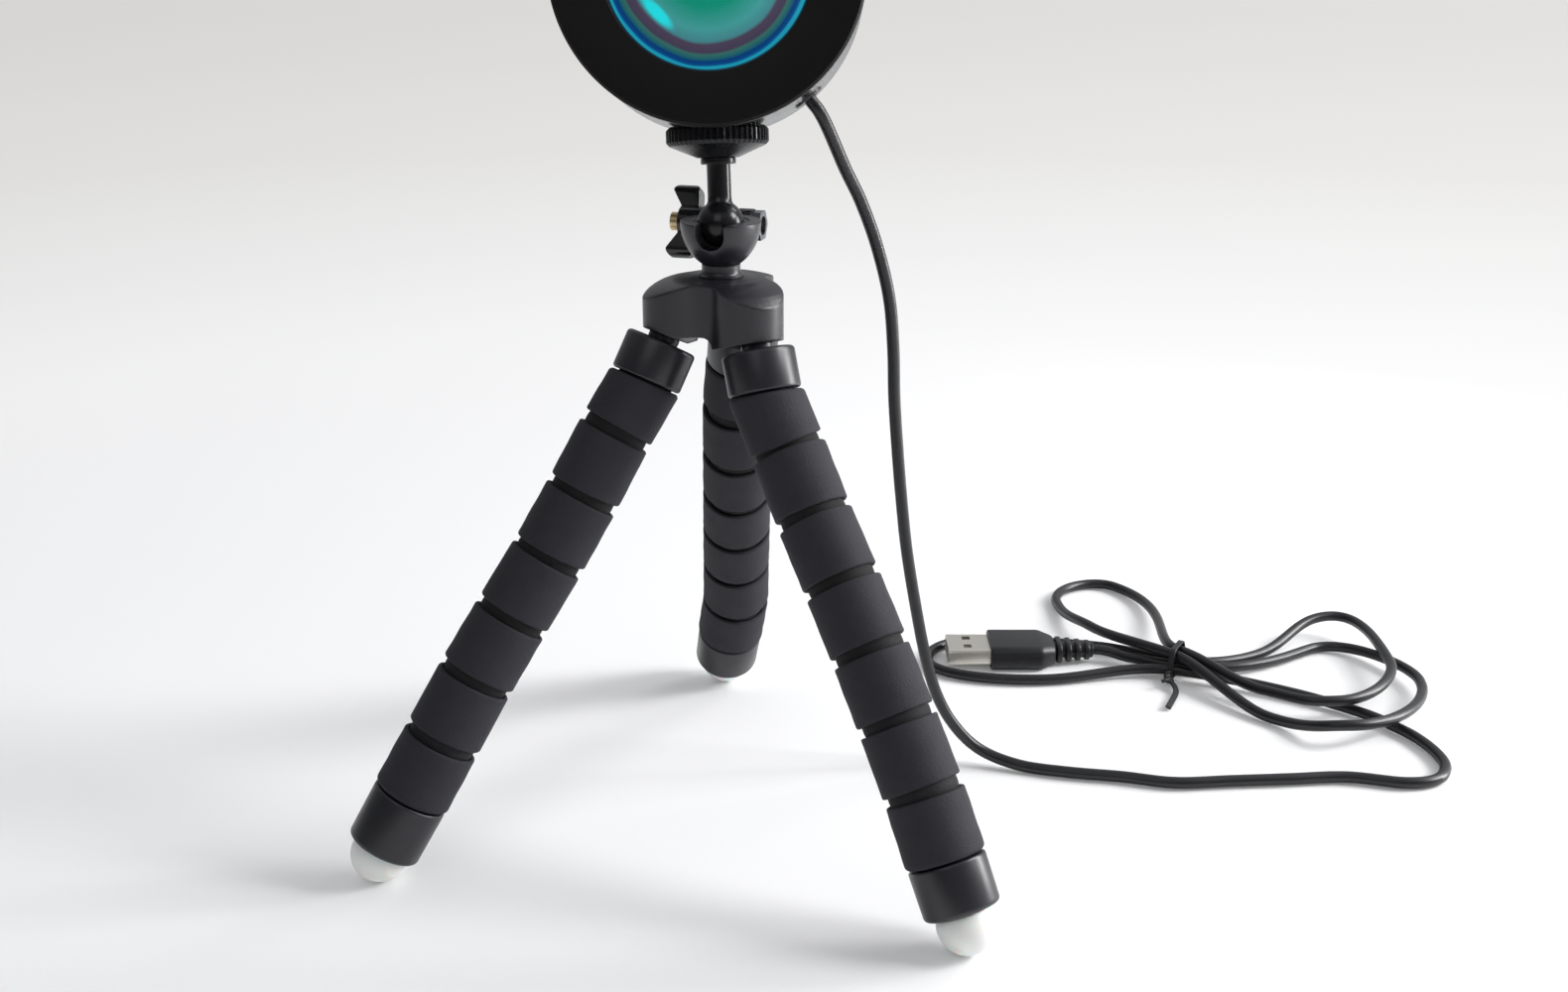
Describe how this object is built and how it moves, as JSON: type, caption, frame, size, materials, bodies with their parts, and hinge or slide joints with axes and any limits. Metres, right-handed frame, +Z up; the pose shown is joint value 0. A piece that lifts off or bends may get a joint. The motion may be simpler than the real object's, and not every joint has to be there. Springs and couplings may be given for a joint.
{
  "type": "sunset projection lamp",
  "caption": "Desk lamp that projects a warm round glow: round black lamp head with a coated lens on a small flexible tripod with a ball joint, with a lead, tied hank and plug.",
  "frame": {"origin": "where the hub's axis meets the floor under the standing tripod", "axes": "+Z up, -Y is where the lamp head faces, +X is to the right seen from the front"},
  "size_m": [0.2676, 0.2099, 0.2222],
  "materials": {
    "black_plastic": "satin",
    "gloss_black": "gloss",
    "bezel_black": "fine satin",
    "foam": "matt foam",
    "foot_rubber": "translucent satin",
    "wire_metal": "dull",
    "sink_metal": "satin",
    "steel": "satin",
    "screw_brass": "satin",
    "glass_lens": "polished, colour-shifting coating",
    "gasket_rubber": "matt",
    "reflector_chrome": "polished",
    "board_white": "satin",
    "led_yellow": "gloss",
    "cord_pvc": "satin",
    "tie_black": "satin",
    "shell_metal": "satin",
    "tongue_white": "satin"
  },
  "bodies": {
    "stand": {"hub": "black_plastic", "hub_screw": "steel", "ball_cup": "black_plastic", "clamp_nut": "steel", "cord_run": "cord_pvc", "cord_hank": "cord_pvc", "twist_tie": "tie_black", "plug_body": "cord_pvc", "plug_shell": "shell_metal", "plug_tongue": "tongue_white"},
    "leg_1_top": {"leg_1_collar": "black_plastic", "leg_1_foam_1": "foam", "leg_1_wire": "wire_metal"},
    "leg_1_section_2": {"leg_1_foam_2": "foam"},
    "leg_1_section_3": {"leg_1_foam_3": "foam"},
    "leg_1_section_4": {"leg_1_foam_4": "foam"},
    "leg_1_section_5": {"leg_1_foam_5": "foam"},
    "leg_1_section_6": {"leg_1_foam_6": "foam"},
    "leg_1_section_7": {"leg_1_foam_7": "foam", "leg_1_cap": "black_plastic", "leg_1_foot": "foot_rubber"},
    "leg_2_top": {"leg_2_collar": "black_plastic", "leg_2_foam_1": "foam", "leg_2_wire": "wire_metal"},
    "leg_2_section_2": {"leg_2_foam_2": "foam"},
    "leg_2_section_3": {"leg_2_foam_3": "foam"},
    "leg_2_section_4": {"leg_2_foam_4": "foam"},
    "leg_2_section_5": {"leg_2_foam_5": "foam"},
    "leg_2_section_6": {"leg_2_foam_6": "foam"},
    "leg_2_section_7": {"leg_2_foam_7": "foam", "leg_2_cap": "black_plastic", "leg_2_foot": "foot_rubber"},
    "leg_3_top": {"leg_3_collar": "black_plastic", "leg_3_foam_1": "foam", "leg_3_wire": "wire_metal"},
    "leg_3_section_2": {"leg_3_foam_2": "foam"},
    "leg_3_section_3": {"leg_3_foam_3": "foam"},
    "leg_3_section_4": {"leg_3_foam_4": "foam"},
    "leg_3_section_5": {"leg_3_foam_5": "foam"},
    "leg_3_section_6": {"leg_3_foam_6": "foam"},
    "leg_3_section_7": {"leg_3_foam_7": "foam", "leg_3_cap": "black_plastic", "leg_3_foot": "foot_rubber"},
    "ball_liner": {"ball_seat": "black_plastic"},
    "stem": {"ball_stem": "black_plastic"},
    "wheel": {"lock_wheel": "black_plastic"},
    "head": {"front_bezel": "bezel_black", "lens": "glass_lens", "lens_gasket": "gasket_rubber", "reflector": "reflector_chrome", "led_chip": "led_yellow", "led_board": "board_white", "heat_sink": "sink_metal", "head_housing": "gloss_black", "board_screws": "steel", "head_screws": "steel", "mount_nut": "steel", "cord_grommet": "gasket_rubber"},
    "clamp": {"wing_knob": "gloss_black", "clamp_screw": "screw_brass"}
  },
  "joints": [
    {"name": "leg_1_splay", "type": "hinge", "parent": "stand", "child": "leg_1_top", "pos_m": [-0.01233, -0.0013, 0.11343], "axis": [-0.3907, 0.9205, 0], "range_deg": [-6, 6], "deforming": ["leg_1_wire"]},
    {"name": "leg_1_bend", "type": "hinge", "parent": "leg_1_top", "child": "leg_1_section_2", "pos_m": [-0.02279, -0.00683, 0.09446], "axis": [-0.3907, 0.9205, 0], "range_deg": [-5, 7], "deforming": ["leg_1_wire"]},
    {"name": "leg_1_bend_2", "type": "hinge", "parent": "leg_1_section_2", "child": "leg_1_section_3", "pos_m": [-0.03002, -0.0099, 0.08145], "axis": [-0.3907, 0.9205, 0], "range_deg": [-5, 7]},
    {"name": "leg_1_bend_3", "type": "hinge", "parent": "leg_1_section_3", "child": "leg_1_section_4", "pos_m": [-0.0376, -0.01311, 0.06867], "axis": [-0.3907, 0.9205, 0], "range_deg": [-5, 7]},
    {"name": "leg_1_bend_4", "type": "hinge", "parent": "leg_1_section_4", "child": "leg_1_section_5", "pos_m": [-0.04561, -0.01651, 0.0562], "axis": [-0.3907, 0.9205, 0], "range_deg": [-5, 7]},
    {"name": "leg_1_bend_5", "type": "hinge", "parent": "leg_1_section_5", "child": "leg_1_section_6", "pos_m": [-0.05349, -0.01986, 0.04365], "axis": [-0.3907, 0.9205, 0], "range_deg": [-5, 7]},
    {"name": "leg_1_bend_6", "type": "hinge", "parent": "leg_1_section_6", "child": "leg_1_section_7", "pos_m": [-0.06093, -0.02302, 0.03077], "axis": [-0.3907, 0.9205, 0], "range_deg": [-5, 7]},
    {"name": "leg_2_splay", "type": "hinge", "parent": "stand", "child": "leg_2_top", "pos_m": [0.00729, -0.01003, 0.11343], "axis": [-0.7934, -0.6088, 0], "range_deg": [-6, 6], "deforming": ["leg_2_wire"]},
    {"name": "leg_2_bend", "type": "hinge", "parent": "leg_2_top", "child": "leg_2_section_2", "pos_m": [0.0135, -0.01671, 0.0931], "axis": [-0.7934, -0.6088, 0], "range_deg": [-5, 7], "deforming": ["leg_2_wire"]},
    {"name": "leg_2_bend_2", "type": "hinge", "parent": "leg_2_section_2", "child": "leg_2_section_3", "pos_m": [0.01866, -0.02343, 0.08048], "axis": [-0.7934, -0.6088, 0], "range_deg": [-5, 7]},
    {"name": "leg_2_bend_3", "type": "hinge", "parent": "leg_2_section_3", "child": "leg_2_section_4", "pos_m": [0.02419, -0.03063, 0.06829], "axis": [-0.7934, -0.6088, 0], "range_deg": [-5, 7]},
    {"name": "leg_2_bend_4", "type": "hinge", "parent": "leg_2_section_4", "child": "leg_2_section_5", "pos_m": [0.02958, -0.03766, 0.05594], "axis": [-0.7934, -0.6088, 0], "range_deg": [-5, 7]},
    {"name": "leg_2_bend_5", "type": "hinge", "parent": "leg_2_section_5", "child": "leg_2_section_6", "pos_m": [0.03478, -0.04443, 0.04336], "axis": [-0.7934, -0.6088, 0], "range_deg": [-5, 7]},
    {"name": "leg_2_bend_6", "type": "hinge", "parent": "leg_2_section_6", "child": "leg_2_section_7", "pos_m": [0.0398, -0.05098, 0.0306], "axis": [-0.7934, -0.6088, 0], "range_deg": [-5, 7]},
    {"name": "leg_3_splay", "type": "hinge", "parent": "stand", "child": "leg_3_top", "pos_m": [0.00504, 0.01133, 0.11343], "axis": [0.9999, 0.0105, 0], "range_deg": [-6, 6], "deforming": ["leg_3_wire"]},
    {"name": "leg_3_bend", "type": "hinge", "parent": "leg_3_top", "child": "leg_3_section_2", "pos_m": [0.00345, 0.02012, 0.09289], "axis": [0.9999, 0.0105, 0], "range_deg": [-5, 7], "deforming": ["leg_3_wire"]},
    {"name": "leg_3_bend_2", "type": "hinge", "parent": "leg_3_section_2", "child": "leg_3_section_3", "pos_m": [0.00336, 0.0279, 0.07983], "axis": [0.9999, 0.0105, 0], "range_deg": [-5, 7]},
    {"name": "leg_3_bend_3", "type": "hinge", "parent": "leg_3_section_3", "child": "leg_3_section_4", "pos_m": [0.00328, 0.03639, 0.06723], "axis": [0.9999, 0.0105, 0], "range_deg": [-5, 7]},
    {"name": "leg_3_bend_4", "type": "hinge", "parent": "leg_3_section_4", "child": "leg_3_section_5", "pos_m": [0.00318, 0.0453, 0.05492], "axis": [0.9999, 0.0105, 0], "range_deg": [-5, 7]},
    {"name": "leg_3_bend_5", "type": "hinge", "parent": "leg_3_section_5", "child": "leg_3_section_6", "pos_m": [0.00309, 0.05404, 0.04248], "axis": [0.9999, 0.0105, 0], "range_deg": [-5, 7]},
    {"name": "leg_3_bend_6", "type": "hinge", "parent": "leg_3_section_6", "child": "leg_3_section_7", "pos_m": [0.00301, 0.06212, 0.0296], "axis": [0.9999, 0.0105, 0], "range_deg": [-5, 7]},
    {"name": "ball_pan", "type": "hinge", "parent": "stand", "child": "ball_liner", "pos_m": [0, 0, 0.13758], "axis": [0, 0, 1], "range_deg": [-90, 90], "deforming": ["cord_run"]},
    {"name": "ball_tilt", "type": "hinge", "parent": "ball_liner", "child": "stem", "pos_m": [0, 0, 0.13758], "axis": [1, 0, 0], "range_deg": [-30, 50], "deforming": ["cord_run"]},
    {"name": "head_turn", "type": "hinge", "parent": "stem", "child": "head", "pos_m": [-0.00134, 0.00955, 0.18766], "axis": [-0.0262, 0.1873, 0.982], "range_deg": [-60, 60], "deforming": ["cord_run"]},
    {"name": "lock_wheel_turn", "type": "hinge", "parent": "stem", "child": "wheel", "pos_m": [-0.00047, 0.00337, 0.15526], "axis": [-0.0262, 0.1873, 0.982], "range_deg": [0, 360]},
    {"name": "clamp_turn", "type": "hinge", "parent": "stand", "child": "clamp", "pos_m": [0.0034, 0.01046, 0.13558], "axis": [0.9511, -0.309, 0], "range_deg": [0, 360]}
  ],
  "couplings": [
    {"joint": "leg_1_bend_2", "follows": "leg_1_bend", "ratio": 1},
    {"joint": "leg_1_bend_3", "follows": "leg_1_bend", "ratio": 1},
    {"joint": "leg_1_bend_4", "follows": "leg_1_bend", "ratio": 1},
    {"joint": "leg_1_bend_5", "follows": "leg_1_bend", "ratio": 1},
    {"joint": "leg_1_bend_6", "follows": "leg_1_bend", "ratio": 1},
    {"joint": "leg_2_bend_2", "follows": "leg_2_bend", "ratio": 1},
    {"joint": "leg_2_bend_3", "follows": "leg_2_bend", "ratio": 1},
    {"joint": "leg_2_bend_4", "follows": "leg_2_bend", "ratio": 1},
    {"joint": "leg_2_bend_5", "follows": "leg_2_bend", "ratio": 1},
    {"joint": "leg_2_bend_6", "follows": "leg_2_bend", "ratio": 1},
    {"joint": "leg_3_bend_2", "follows": "leg_3_bend", "ratio": 1},
    {"joint": "leg_3_bend_3", "follows": "leg_3_bend", "ratio": 1},
    {"joint": "leg_3_bend_4", "follows": "leg_3_bend", "ratio": 1},
    {"joint": "leg_3_bend_5", "follows": "leg_3_bend", "ratio": 1},
    {"joint": "leg_3_bend_6", "follows": "leg_3_bend", "ratio": 1}
  ]
}
